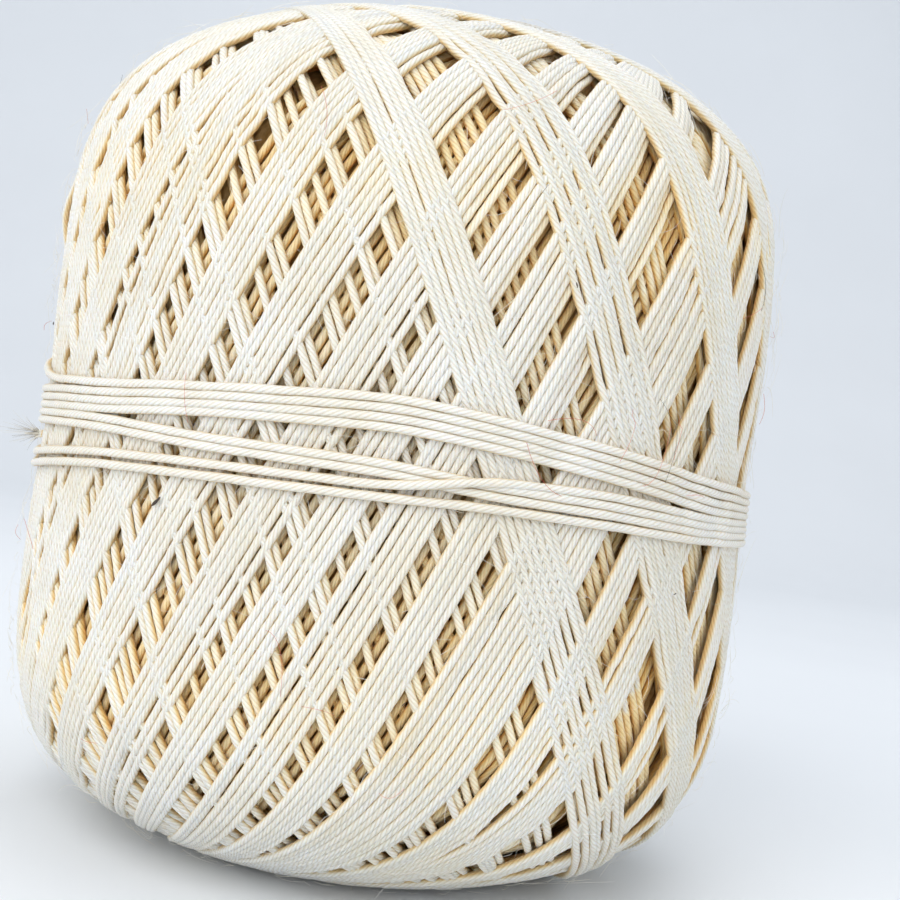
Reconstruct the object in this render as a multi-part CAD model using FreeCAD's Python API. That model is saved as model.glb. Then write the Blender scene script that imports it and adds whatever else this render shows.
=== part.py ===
import FreeCAD, Part
import math
import os

# A barrel-shaped ball of cross-wound cotton thread on a spiral-wound paper core, standing on its
# end. Sizes are millimetres. +Z runs along the core, the origin is at the middle of the foot, and
# -Y is the front. Heights in the functions are counted from the middle of the ball, MID_HEIGHT.

# Ball, over the cross winding
BALL_DIAMETER = 76.0
BALL_HEIGHT = 84.0
END_LAND_WIDTH = 2.4        # flat ring on which an end stands, outside its hollow
SIDE_FULLNESS = 6.5         # exponent on height: larger keeps the side straight for longer
SHOULDER_ROUNDNESS = 1.6    # exponent on radius: smaller rounds the shoulder more
WINDING_ANGLE = 65.0        # degrees between the plane of a loop of thread and the waist

# Thread
THREAD_DIAMETER = 0.8
THREAD_CLEARANCE = 0.03     # between a thread and what it lies on or beside

# Paper core tube
CORE_BORE_DIAMETER = 26.0
CORE_LENGTH = 74.0
PLY_THICKNESS = 0.6
PLY_NAMES = ("inner", "middle", "outer")

# Stages of winding between the core and the face, as shares of the wound depth
STAGE_DEPTHS = (("base", 0.17), ("inner", 0.43), ("middle", 0.69))
FACE_PASS_LAYERS = 2        # the last pass of crossing bands is this many threads deep

# First turns, which trap the starting end of the thread on the core
START_TURNS = 12

# Turns round the waist that close the ball
UPPER_TURNS = 4
LOWER_TURNS = 4
WAIST_GAP = 2.4             # between the two groups, on average round the ball
WAIST_LEAN = 1.9            # how far the upper group rises and falls, less than the gap
WAIST_LEAN_TOWARDS = -120.0 # degrees round from the front to where the groups stand furthest apart
WAIST_GROOVE_DEPTH = 0.6    # how far the turns pull the ball in
WAIST_GROOVE_REACH = 8.0    # height at which the groove has faded to a third
END_START = -74.0           # degrees round from the front, where the cut end leaves the turns
END_SWEEP = 16.0            # degrees that the cut end runs on round the ball

MID_HEIGHT = BALL_HEIGHT / 2
BALL_RADIUS = BALL_DIAMETER / 2
CORE_RADIUS = CORE_BORE_DIAMETER / 2 + len(PLY_NAMES) * PLY_THICKNESS
LOOP_SLOPE = math.tan(math.radians(WINDING_ANGLE))
CORE_SEAT = CORE_RADIUS * LOOP_SLOPE    # height at which the winding ends on the core
FACE_DEPTH = FACE_PASS_LAYERS * THREAD_DIAMETER
PROFILE_STEPS = 40

UP = FreeCAD.Vector(0, 0, 1)
ORIGIN = FreeCAD.Vector(0, 0, 0)


def at(radius, height):
    """Point in the XZ plane at this radius and this height above the middle of the ball."""
    return FreeCAD.Vector(radius, 0, MID_HEIGHT + height)


def rim_height(waist_radius):
    """Height of a stage's flat end: it grows from the core's seat to the ball's own end."""
    grown = (waist_radius - CORE_RADIUS) / (BALL_RADIUS - CORE_RADIUS)
    return CORE_SEAT + grown * (MID_HEIGHT - CORE_SEAT)


def hollow_radius(height):
    """Radius of the hollow in the end: loops at the winding angle can't come nearer the axis."""
    return height / LOOP_SLOPE


def barrel_radius(height, waist_radius):
    """Radius of a stage: R (1 - |z/H|^p)^(1/q), with H set so that it meets the outside of the
    flat end, less the groove that the waist turns press in on the face."""
    rim = rim_height(waist_radius)
    land = hollow_radius(rim) + END_LAND_WIDTH
    share = (1 - (land / waist_radius) ** SHOULDER_ROUNDNESS) ** (1 / SIDE_FULLNESS)
    tall = rim / share
    radius = waist_radius * (1 - abs(height / tall) ** SIDE_FULLNESS) ** (1 / SHOULDER_ROUNDNESS)
    depth = WAIST_GROOVE_DEPTH * math.exp(-(height / WAIST_GROOVE_REACH) ** 2)
    return radius - depth * (waist_radius - CORE_RADIUS) / (BALL_RADIUS - CORE_RADIUS)


def barrel_edge(waist_radius):
    """Smooth outline of a stage's side, from its bottom end to its top end."""
    rim = rim_height(waist_radius)
    heights = [rim * (2 * i / PROFILE_STEPS - 1) for i in range(PROFILE_STEPS + 1)]
    curve = Part.BSplineCurve()
    curve.interpolate([at(barrel_radius(z, waist_radius), z) for z in heights])
    return curve.toShape()


def end_points(waist_radius, side):
    """Inner and outer corners of a stage's flat end, on the top (side 1) or bottom (side -1)."""
    rim = rim_height(waist_radius)
    inner = at(hollow_radius(rim), side * rim)
    outer = at(barrel_radius(rim, waist_radius), side * rim)
    return inner, outer


def revolved(edges):
    """Solid of revolution about the core's axis from the edges of a closed outline."""
    face = Part.Face(Part.Wire(Part.__sortEdges__(edges)))
    return face.revolve(ORIGIN, UP, 360)


def tube(inner_radius, outer_radius, length):
    """Plain tube on the core's axis, centred on the middle of the ball."""
    base = FreeCAD.Vector(0, 0, MID_HEIGHT - length / 2)
    outer = Part.makeCylinder(outer_radius, length, base)
    return outer.cut(Part.makeCylinder(inner_radius, length, base))


def core_plies():
    """The core's plies of paper, glued face to face from the bore outwards."""
    plies = {}
    for i, name in enumerate(PLY_NAMES):
        inside = CORE_BORE_DIAMETER / 2 + i * PLY_THICKNESS
        plies["core_%s_ply" % name] = tube(inside, inside + PLY_THICKNESS, CORE_LENGTH)
    return plies


def start_wraps():
    """Close turns of thread on the core, as the sleeve of their outer shape."""
    return tube(CORE_RADIUS, CORE_RADIUS + THREAD_DIAMETER, START_TURNS * THREAD_DIAMETER)


def base_stage(waist_radius):
    """Cross winding laid straight on the core and over the first turns."""
    bottom_seat = at(CORE_RADIUS, -CORE_SEAT)
    top_seat = at(CORE_RADIUS, CORE_SEAT)
    bottom_in, bottom_out = end_points(waist_radius, -1)
    top_in, top_out = end_points(waist_radius, 1)
    edges = [
        Part.makeLine(top_seat, bottom_seat),
        Part.makeLine(bottom_seat, bottom_in),
        Part.makeLine(bottom_in, bottom_out),
        barrel_edge(waist_radius),
        Part.makeLine(top_out, top_in),
        Part.makeLine(top_in, top_seat),
    ]
    return revolved(edges).cut(start_wraps())


def stage(inner_waist, outer_waist):
    """Cross winding from one stage's surface to the next, hollow at both ends."""
    edges = [barrel_edge(inner_waist), barrel_edge(outer_waist)]
    for side in (-1, 1):
        inner_rim, inner_land = end_points(inner_waist, side)
        outer_rim, outer_land = end_points(outer_waist, side)
        edges.append(Part.makeLine(inner_land, inner_rim))
        edges.append(Part.makeLine(inner_rim, outer_rim))
        edges.append(Part.makeLine(outer_rim, outer_land))
    return revolved(edges)


def windings():
    """Every stage of cross winding, from the core to the face."""
    depth = BALL_RADIUS - CORE_RADIUS
    waists = [(name, CORE_RADIUS + share * depth) for name, share in STAGE_DEPTHS]
    waists += [("outer", BALL_RADIUS - FACE_DEPTH), ("face", BALL_RADIUS)]
    stages = {"base_winding": base_stage(waists[0][1])}
    for (_, inner), (name, outer) in zip(waists, waists[1:]):
        stages["%s_winding" % name] = stage(inner, outer)
    return stages


def seated_radius(height, lean):
    """Radius of the ring that clears the face at every height that a leaning turn reaches."""
    reached = [height + lean * (i / 8 - 1) for i in range(17)]
    under = max(barrel_radius(z, BALL_RADIUS) for z in reached)
    return (under + THREAD_DIAMETER / 2 + THREAD_CLEARANCE) / math.cos(math.atan(lean / BALL_RADIUS))


def waist_turn(height, lean):
    """One closed turn of thread: a ring tipped so that it stands lean higher on one side."""
    ring = Part.makeTorus(seated_radius(height, lean), THREAD_DIAMETER / 2, ORIGIN, UP)
    heading = math.radians(WAIST_LEAN_TOWARDS)
    high_side = FreeCAD.Vector(math.sin(heading), -math.cos(heading), 0)
    ring.rotate(ORIGIN, high_side.cross(UP), math.degrees(math.atan(lean / BALL_RADIUS)))
    ring.translate(at(0, height))
    return ring


def waist_turns():
    """Upper group of leaning turns, then the level lower group, numbered from the top."""
    pitch = THREAD_DIAMETER + 2 * THREAD_CLEARANCE
    first_upper = WAIST_GAP / 2 + THREAD_DIAMETER / 2
    first_lower = -first_upper
    places = [(first_upper + i * pitch, WAIST_LEAN) for i in reversed(range(UPPER_TURNS))]
    places += [(first_lower - i * pitch, 0.0) for i in range(LOWER_TURNS)]
    return {"waist_turn_%d" % (i + 1): waist_turn(*place) for i, place in enumerate(places)}


def thread_end():
    """The cut end, lying on the face beside the turns, between the two groups."""
    profile = Part.makeCircle(THREAD_DIAMETER / 2, ORIGIN, FreeCAD.Vector(0, 1, 0))
    profile.translate(at(seated_radius(0.0, 0.0), 0.0))
    face = Part.Face(Part.Wire(profile))
    from_x_axis = END_START - 90 - END_SWEEP
    face.rotate(ORIGIN, UP, from_x_axis)
    return face.revolve(ORIGIN, UP, END_SWEEP)


def main():
    os.makedirs("parts", exist_ok=True)
    pieces = {**core_plies(), "start_wraps": start_wraps(), **windings(), **waist_turns()}
    pieces["thread_end"] = thread_end()
    for name, shape in pieces.items():
        if shape.ShapeType != "Solid":
            shape = shape.Solids[0]
        shape.exportStep(os.path.join("parts", name + ".step"))
        print("%-18s volume %9.1f mm3" % (name, shape.Volume))


main()
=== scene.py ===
import math
import bpy
import numpy as np
from mathutils import Matrix, Vector


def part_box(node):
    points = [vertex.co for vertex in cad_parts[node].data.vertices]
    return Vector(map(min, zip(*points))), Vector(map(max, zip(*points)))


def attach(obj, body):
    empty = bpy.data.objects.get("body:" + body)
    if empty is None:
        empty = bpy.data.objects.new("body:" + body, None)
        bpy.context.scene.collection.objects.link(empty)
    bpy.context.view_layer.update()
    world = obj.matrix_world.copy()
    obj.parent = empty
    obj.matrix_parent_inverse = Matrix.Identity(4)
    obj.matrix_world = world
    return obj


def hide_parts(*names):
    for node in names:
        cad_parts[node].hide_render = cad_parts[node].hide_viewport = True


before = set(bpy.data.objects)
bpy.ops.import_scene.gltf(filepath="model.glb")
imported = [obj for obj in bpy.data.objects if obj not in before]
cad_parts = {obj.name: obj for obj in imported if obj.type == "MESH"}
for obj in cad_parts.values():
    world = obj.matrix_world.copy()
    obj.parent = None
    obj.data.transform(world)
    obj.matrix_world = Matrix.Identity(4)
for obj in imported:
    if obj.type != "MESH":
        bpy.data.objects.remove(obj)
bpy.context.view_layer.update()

# A barrel-shaped ball of cross-wound cotton thread. Lengths are millimetres and angles degrees
# until a mesh is made. Azimuth is counted round the ball from the front, -Y, towards +X; heights
# are counted from the middle of the ball.
MM = 0.001
FACE_LOW, FACE_HIGH = (np.array(corner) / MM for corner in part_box("face_winding"))
MID_HEIGHT = (FACE_LOW[2] + FACE_HIGH[2]) / 2
END_HEIGHT = FACE_HIGH[2] - MID_HEIGHT
CORE_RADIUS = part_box("core_outer_ply")[1][0] / MM
BALL_RADIUS = 38.0          # over the winding, at the waist, before the groove is pressed in
LAND_RADIUS = 22.0          # outside of the flat end
SIDE_FULLNESS = 6.5         # larger keeps the side straight for longer
SHOULDER_ROUNDNESS = 1.6    # smaller rounds the shoulder more
GROOVE_DEPTH = 0.4          # how far the waist turns pull the ball in
GROOVE_REACH = 8.0          # height at which the groove has faded to a third
# Radius and height of the hollow in an end, from inside the flat end towards the core.
HOLLOW = ((20.6, 42.0), (19.6, 41.8), (18.9, 41.2), (17.6, 38.8), (16.2, 36.0), (15.0, 33.8))
UP = np.array([0.0, 0.0, 1.0])

# Thread
THREAD_RADIUS = 0.395
PLIES = 6                   # ridges to be counted round the thread
PLY_LAY = 4.4               # length in which the plies go once round each other
SLUB = 0.05                 # share by which the thread's thickness comes and goes
SQUASH = 0.85               # a crossing thread sinks into what it crosses by the rest

# Winding
WINDING_ANGLE = 65.0        # between the plane of a loop and the waist
LOOP_SPOTS = 1080           # places worked out along one loop
FIELD_STEP = 0.4            # degrees between places where the height laid so far is kept
FIELD_TOP = 70.0            # the height is kept between these angles above and below the waist
CHORDS = (1, 2, 4, 6, 9, 13, 18, 24, 32, 42)    # spans, in places, that a tight thread bridges
PASS_DEPTH = 1.15           # how far under the face the pass below the last one is kept
BED_DEPTH = 2.3             # how far under the face the bed of both passes lies
END_ROOM = 1.1              # extra depth near the ends, where every loop of a pass overlaps
END_FROM, END_OVER = 36, 20 # angle at which near the end begins, and over which it grows
PILE_GIVE = 0.15            # share of a pile past the ceiling that still counts
NO_CEILING = 60.0           # further out than any thread comes
EASE = 0.2                  # share by which a tight line gives way to what it rests on
COVER_SPREAD = 5            # places by which the face's level reaches over a gap

# The ball's weight flattens the threads of its ends to this height.
STANDING_HEIGHT = END_HEIGHT - 1.06 * THREAD_RADIUS

SEEN_STEP = 0.5             # between rings of the mesh where a thread shows
BURIED_STEP = 1.6           # and where others cover it
UNDER_SEEN_STEP = 0.6       # the same for the pass under the face
UNDER_BURIED_STEP = 2.6
SIDES = 6                   # corners of a thread's section
WAIST_SIDES = 8
SEEN_DEPTH = 0.12           # a thread this far under its neighbours still shows
PIECE_TRIANGLES = 185000
ROW_LENGTH = 110.0          # length of thread in one row of the bake map
ROW_MARGIN, ROW_FILL, ROW_REACH = 0.08, 0.84, 0.97     # parts of a row, up it and along it
CAP_CORNERS = ((0.99, 0.0), (1.0, 0.0), (1.0, 1.0), (0.99, 1.0))    # beyond the rows

rng = np.random.default_rng(7)


# ---------------------------------------------------------------- shape of the ball

def unit(vectors):
    """The same directions, each made one long."""
    return vectors / np.linalg.norm(vectors, axis=-1, keepdims=True)


def level_axes(azimuth):
    """Level unit vectors at azimuths in radians: outwards, and round the ball."""
    sine, cosine, zero = np.sin(azimuth), np.cos(azimuth), np.zeros_like(azimuth)
    return np.stack([sine, -cosine, zero], axis=-1), np.stack([cosine, sine, zero], axis=-1)


def direction_at(azimuth, tall):
    """Unit vectors from the middle of the ball at azimuths and angles above the waist, both in
    radians."""
    across = np.cos(tall)
    return np.stack([np.sin(azimuth) * across, -np.cos(azimuth) * across, np.sin(tall)], axis=-1)


def near_end(angle):
    """Nothing over most of the side, growing evenly to one towards either end."""
    return np.clip((np.abs(angle) - END_FROM) / END_OVER, 0, 1)


def groove(height):
    """Depth of the groove under the waist turns, a bell curve in height."""
    return GROOVE_DEPTH * np.exp(-(height / GROOVE_REACH) ** 2)


def side_radius(z):
    """Radius of the face at height z: R (1 - |z/H|^p)^(1/q), with H set so that the curve meets
    the outside of the flat end."""
    share = (1 - (LAND_RADIUS / BALL_RADIUS) ** SHOULDER_ROUNDNESS) ** (1 / SIDE_FULLNESS)
    tall = END_HEIGHT / share
    inside = np.clip(1 - np.abs(z / tall) ** SIDE_FULLNESS, 0, 1)
    return BALL_RADIUS * inside ** (1 / SHOULDER_ROUNDNESS)


def polar_outline():
    """The outline as angle above the waist and distance from the middle: the side, the flat end,
    and the first part of the hollow, which narrows towards the core."""
    z = np.linspace(0, END_HEIGHT, 300)
    r = side_radius(z)
    hollow = np.array(HOLLOW)
    r = np.concatenate([r, hollow[:, 0]])
    z = np.concatenate([z, hollow[:, 1]])
    return np.degrees(np.arctan2(z, r)), np.hypot(r, z)


OUTLINE_ANGLE, OUTLINE_REACH = polar_outline()


def reach(angle):
    """Distance from the middle of the ball to its face at this angle above the waist."""
    return np.interp(np.abs(angle), OUTLINE_ANGLE, OUTLINE_REACH)


def slant(angle):
    """One over the cosine between the face's normal and the line from the middle: a thickness
    is this much longer along that line."""
    step = 0.5
    change = (reach(angle + step) - reach(angle - step)) / math.radians(2 * step)
    return np.clip(np.sqrt(1 + (change / reach(angle)) ** 2), 1, 1.8)


def pressed_in(points):
    """Points moved towards the axis by the groove under the waist turns."""
    radius = np.hypot(points[..., 0], points[..., 1])
    keep = 1 - groove(points[..., 2]) / radius
    return points * np.stack([keep, keep, np.ones_like(keep)], axis=-1)


# ---------------------------------------------------------------- winding

FIELD_ANGLES = np.arange(-FIELD_TOP, FIELD_TOP + FIELD_STEP / 2, FIELD_STEP)
FIELD_AZIMUTHS = int(round(360 / FIELD_STEP))


def field_place(points):
    """Row and column of the height field under each point."""
    azimuth = np.degrees(np.arctan2(points[..., 0], -points[..., 1]))
    angle = np.degrees(np.arctan2(points[..., 2], np.hypot(points[..., 0], points[..., 1])))
    row = np.rint(azimuth / FIELD_STEP).astype(int) % FIELD_AZIMUTHS
    column = np.rint((angle + FIELD_TOP) / FIELD_STEP).astype(int)
    return row, np.clip(column, 0, len(FIELD_ANGLES) - 1)


def wander(seed_angles, size):
    """A slow sideways wander along a loop: a sum of three low waves with given phases."""
    turn = np.linspace(0, 2 * np.pi, LOOP_SPOTS, endpoint=False)
    waves = [np.sin((k + 1) * turn + seed_angles[k]) / (k + 1) for k in range(3)]
    return size * sum(waves)


def loop_directions(azimuth, tilt):
    """Directions from the middle of the ball to a plane loop. e1 points to where it climbs
    through the waist, e2 is at right angles to it, tilted up from the waist; the direction
    at turn t is cos t e1 + sin t e2. azimuth may vary along the loop."""
    turn = np.linspace(0, 2 * np.pi, LOOP_SPOTS, endpoint=False)
    out, along = level_axes(np.radians(azimuth) * np.ones(LOOP_SPOTS))
    lean = math.radians(tilt)
    climb = math.cos(lean) * along + math.sin(lean) * UP
    return np.cos(turn)[:, None] * out + np.sin(turn)[:, None] * climb


def sideways(directions):
    """Unit vectors across a closed line of directions, level with the face."""
    along = np.roll(directions, -1, axis=0) - np.roll(directions, 1, axis=0)
    return unit(np.cross(along, directions))


def drawn_tight(distance, step):
    """The tight line round a closed set of supports, given as distances from the middle at even
    angles. A chord from a place i steps back to one k steps on crosses this place where
    1/distance = (u_back sin(k step) + u_on sin(i step)) / sin((i + k) step), with u = 1/distance;
    the thread lies on the outermost chord."""
    u = 1 / distance
    best = u.copy()
    for i in CHORDS:
        back = np.roll(u, i)
        for k in CHORDS:
            chord = back * math.sin(k * step) + np.roll(u, -k) * math.sin(i * step)
            best = np.minimum(best, chord / math.sin((i + k) * step))
    return 1 / best


def smoothed(values, width):
    """A closed row of values, each averaged with its neighbours by a short bell."""
    weights = np.exp(-0.5 * (np.arange(-2 * width, 2 * width + 1) / width) ** 2)
    weights /= weights.sum()
    total = np.zeros_like(values)
    for offset, weight in zip(range(-2 * width, 2 * width + 1), weights):
        total += weight * np.roll(values, offset, axis=0)
    return total


def supported(top, directions, across, angle, lift, ceiling, step):
    """Distance from the middle at which a thread along these directions rests on what is laid:
    the highest of three places under its width, plus its squashed radius. Where threads pile up
    past the ceiling they sink into each other. The line is then drawn tight; step is the turn
    from one of its places to the next, in radians."""
    base = directions * reach(angle)[:, None]
    highest = np.zeros(len(directions))
    for offset in (-0.5, 0.0, 0.5):
        place = field_place(base + offset * THREAD_RADIUS * across)
        highest = np.maximum(highest, top[place])
    rest = highest + lift
    rest = np.where(rest > ceiling, ceiling + PILE_GIVE * (rest - ceiling), rest)
    tight = drawn_tight(rest, step)
    eased = (1 - EASE) * tight + EASE * np.maximum(smoothed(rest, 3), rest)
    return smoothed(eased, 2)


def press_on(top, centre, across, lift):
    """Raises the height field to the top of a thread: a half circle across it, squashed."""
    for offset in np.linspace(-0.9, 0.9, 7):
        height = np.linalg.norm(centre, axis=-1) + lift * math.sqrt(1 - offset ** 2)
        np.maximum.at(top, field_place(centre + offset * THREAD_RADIUS * across), height)


def lay(loops, top, finish):
    """Lays loops in order on the height field, and returns their centre lines. finish is how far
    the last of them may stand under the face; near the ends, where every loop passes, the first
    ones are held lower still."""
    lines = []
    for i, (azimuth, tilt) in enumerate(loops):
        directions = loop_directions(azimuth, tilt)
        across = sideways(directions)
        angle = np.degrees(np.arcsin(np.clip(directions[:, 2], -1, 1)))
        slope = slant(angle)
        lift = SQUASH * THREAD_RADIUS * slope
        held = finish + END_ROOM * near_end(angle) * (1 - i / len(loops))
        ceiling = reach(angle) - (held + THREAD_RADIUS * SQUASH) * slope
        distance = supported(top, directions, across, angle, lift, ceiling, 2 * np.pi / LOOP_SPOTS)
        centre = directions * distance[:, None]
        press_on(top, centre, across, lift)
        lines.append(centre)
    return lines


def band_loops(bands, pitch):
    """Loops of each band in winding order. A band is the azimuth of its first loop, its number
    of loops and how many degrees it fans out below the waist where it runs down. The loops of a
    band lie a pitch apart, in degrees of azimuth."""
    turn = np.linspace(0, 2 * np.pi, LOOP_SPOTS, endpoint=False)
    past = np.clip(turn - np.pi, 0, np.pi / 2)
    spread = np.sin(2 * past) ** 2
    loops = []
    for first, count, fan in bands:
        together = wander(rng.uniform(0, 2 * np.pi, 3), 0.35)
        tilt = WINDING_ANGLE + rng.normal(0, 0.7)
        for i in range(count):
            alone = wander(rng.uniform(0, 2 * np.pi, 3), 0.11)
            place = first - i * pitch + rng.normal(0, 0.07)
            fanned = fan * (i / max(count - 1, 1) - 0.5) * spread
            loops.append((place + together + alone - fanned, tilt + rng.normal(0, 0.12)))
    return loops


# First loop's azimuth, number of loops, and fan. The ball turns steadily the other way under
# the thread, so the azimuths fall in the order of winding. A band that climbs at one azimuth
# runs down half a turn further on.
BAND_PITCH = 1.15
FACE_BANDS = (
    (190.0, 2, 0), (185.0, 2, 0), (180.6, 1, 0), (177.0, 2, 0), (172.4, 2, 0), (168.2, 1, 0),
    (164.8, 3, 0), (159.0, 2, 0), (154.4, 2, 0), (149.8, 2, 0), (145.6, 2, 0), (141.0, 1, 0),
    (137.6, 3, 0), (131.6, 2, 0), (127.2, 3, 0), (121.0, 3, 0), (114.6, 3, 0), (109.5, 4, 0),
    (98.0, 5, 0), (86.5, 5, 0), (75.0, 6, 0), (64.0, 5, 0), (53.0, 6, 0), (43.0, 5, 0),
    (34.2, 11, 0), (17.6, 5, 0), (9.5, 6, 0), (0.5, 5, 0), (-8.6, 6, 0), (-20.3, 6, 0),
    (-32.1, 6, 0), (-42.9, 6, 0), (-51.0, 1, 0), (-54.5, 6, 0), (-66.0, 6, 0),
    (-77.5, 6, 0), (-93.0, 9, 0), (-116.0, 8, 0), (-139.6, 8, 0), (-161.4, 7, 3),
)
# The pass under it, whose loops lie a little apart, in the gaps of the last one.
UNDER_PITCH = 1.75
UNDER_BANDS = (
    (184.0, 4, 0), (172.6, 4, 0), (161.2, 4, 0), (149.8, 5, 0), (138.4, 4, 0), (127.0, 4, 0),
    (115.6, 5, 0), (104.2, 4, 0), (92.8, 4, 0), (81.4, 5, 0), (70.0, 4, 0), (59.0, 4, 0),
    (48.6, 4, 0), (39.4, 4, 0), (22.6, 4, 0), (13.4, 3, 0), (5.0, 4, 0), (-3.6, 4, 0),
    (-14.4, 5, 0), (-26.4, 4, 0), (-37.6, 4, 0), (-48.2, 4, 0), (-60.0, 4, 0), (-71.6, 4, 0),
    (-83.0, 5, 0), (-95.0, 4, 0), (-106.4, 4, 0), (-118.0, 5, 0), (-129.4, 4, 0), (-140.8, 4, 0),
    (-152.0, 5, 0), (-163.4, 4, 0),
)


def wind_ball():
    """Winds both passes on the bed. Returns the bed, the height field and the centre lines of
    both passes."""
    under_loops = band_loops(UNDER_BANDS, UNDER_PITCH)
    face_loops = band_loops(FACE_BANDS, BAND_PITCH)
    depth = BED_DEPTH + 2 * END_ROOM * near_end(FIELD_ANGLES)
    bed = reach(FIELD_ANGLES) - depth * slant(FIELD_ANGLES)
    top = np.repeat(bed[None, :], FIELD_AZIMUTHS, axis=0)
    under = lay(under_loops, top, PASS_DEPTH)
    face = lay(face_loops, top, 0.0)
    return bed, top, under, face


SLACK_SPOT = (-77.0, 19.0)  # azimuth and height where one thread has gone slack
SLACK_NEAR = 2.5            # how close to the spot that thread passes
SLACK_RISE = 0.9            # how far it stands off the face
SLACK_REACH = 3.2


def slacken(lines):
    """Lets one thread stand off the face: the last one laid that passes close by the slack spot
    is pushed outwards by a bell curve along it."""
    azimuth, height = np.radians(SLACK_SPOT[0]), SLACK_SPOT[1]
    spot = side_radius(height) * level_axes(azimuth)[0] + height * UP
    away = [np.linalg.norm(line - spot, axis=-1) for line in lines]
    last = max(i for i, distance in enumerate(away) if distance.min() < SLACK_NEAR)
    past = (away[last] ** 2 - away[last].min() ** 2) / SLACK_REACH ** 2
    lines[last] += SLACK_RISE * np.exp(-past)[:, None] * unit(lines[last])


# ---------------------------------------------------------------- turns round the waist

# Heights, turn by turn, at which the thread passes these azimuths. Each turn hands over to the
# next at the back.
WAIST_AZIMUTHS = (-140.0, -100.0, -76.0, -45.0, -25.0, 0.0, 12.0, 30.0, 50.0, 75.0, 110.0, 140.0)
WAIST_HEIGHTS = (
    (3.2, 1.8, 0.85, 1.25, 2.25, 3.45, 2.9, 1.85, 0.45, -0.05, 1.0, 2.0),
    (2.4, 1.0, 0.05, 0.45, 1.5, 2.65, 2.15, 1.05, -0.4, -0.75, 0.2, 1.2),
    (1.6, 0.2, -0.75, -0.3, 0.85, 1.85, 1.4, 0.3, -1.2, -1.45, -0.6, 0.4),
    (-1.1, -1.2, -1.5, -1.05, -1.35, -1.2, -1.85, -2.0, -2.7, -2.75, -2.6, -2.3),
    (-2.0, -2.0, -2.3, -1.85, -2.1, -1.95, -2.65, -2.8, -3.4, -3.35, -3.4, -3.2),
    (-3.7, -4.7, -5.75, -4.1, -3.5, -3.0, -1.35, -1.15, -2.0, -2.15, -1.75, -1.4),
    (-4.6, -5.8, -6.9, -5.15, -4.55, -3.95, -3.6, -3.7, -4.1, -4.05, -4.3, -4.1),
)
# Azimuths and heights of the first turn, whose start comes down over the face from above, and
# of the cut end.
LEAD_IN = (
    (-136.0, 27.0), (-116.0, 15.0), (-100.0, 8.2), (-88.0, 5.2), (-78.0, 3.2), (-64.0, 1.95),
    (-45.0, 2.05), (-25.0, 3.0), (0.0, 4.25), (12.0, 3.65), (30.0, 2.65), (50.0, 1.3),
    (75.0, 0.65), (110.0, 1.85), (140.0, 2.85),
)
LEAD_OUT = ((-150.0, -4.9), (-120.0, -4.4), (-100.0, -4.0), (-87.0, -3.9))
WAIST_TIP = 0.73            # how far the turns tip down on the right and up on the left
OVER_AZIMUTH = 7.0          # where the last turn but one crosses over its neighbours
OVER_REACH = 7.0            # degrees of azimuth over which it is lifted
OVER_LIFT = 0.55
WAIST_STEP = 0.4            # degrees between places along the waist thread
WAIST_SPARE = 60            # places past each end, so that smoothing leaves the ends alone
WAIST_THREAD_RADIUS = 0.41
END_RISE = 1.3              # how far the cut end stands off the face
END_REACH = 3.2             # degrees of azimuth over which it does
START_SINK = 2.2            # how far the thread's start lies under the face, among the bands
START_REACH = 9.0           # degrees of azimuth over which it comes up


def waist_line(top):
    """Centre line of the thread that closes the ball, and the azimuth of each of its places. Its
    height runs through the listed places. It comes up from among the bands, lies on the face,
    drawn tight, and its cut end stands off it."""
    turns = len(WAIST_HEIGHTS)
    marks = [mark for mark, _ in LEAD_IN]
    heights = [height for _, height in LEAD_IN]
    for i, row in enumerate(WAIST_HEIGHTS):
        marks += [mark + 360 * (i + 1) for mark in WAIST_AZIMUTHS]
        heights += list(row)
    marks += [mark + 360 * (turns + 1) for mark, _ in LEAD_OUT]
    heights += [height for _, height in LEAD_OUT]
    first = marks[0] - WAIST_SPARE * WAIST_STEP
    azimuth = np.arange(first, marks[-1] + (WAIST_SPARE + 0.5) * WAIST_STEP, WAIST_STEP)
    height = smoothed(np.interp(azimuth, marks, heights), 9)
    height -= WAIST_TIP * np.sin(np.radians(azimuth))
    angle = np.degrees(np.arctan2(height, side_radius(height)))
    directions = direction_at(np.radians(azimuth), np.radians(angle))
    across = np.broadcast_to(UP, directions.shape)
    lift = SQUASH * WAIST_THREAD_RADIUS * slant(angle)
    step = math.radians(WAIST_STEP)
    distance = supported(top, directions, across, angle, lift, NO_CEILING, step)
    crossing = OVER_AZIMUTH + 360 * (turns - 1)
    distance += OVER_LIFT * np.exp(-((azimuth - crossing) / OVER_REACH) ** 2)
    distance += END_RISE * np.clip(1 - (marks[-1] - azimuth) / END_REACH, 0, 1) ** 2
    distance -= START_SINK * np.clip(1 - (azimuth - marks[0]) / START_REACH, 0, 1) ** 1.5
    kept = slice(WAIST_SPARE, -WAIST_SPARE)
    return (directions * distance[:, None])[kept], azimuth[kept]


# ---------------------------------------------------------------- meshes

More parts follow.
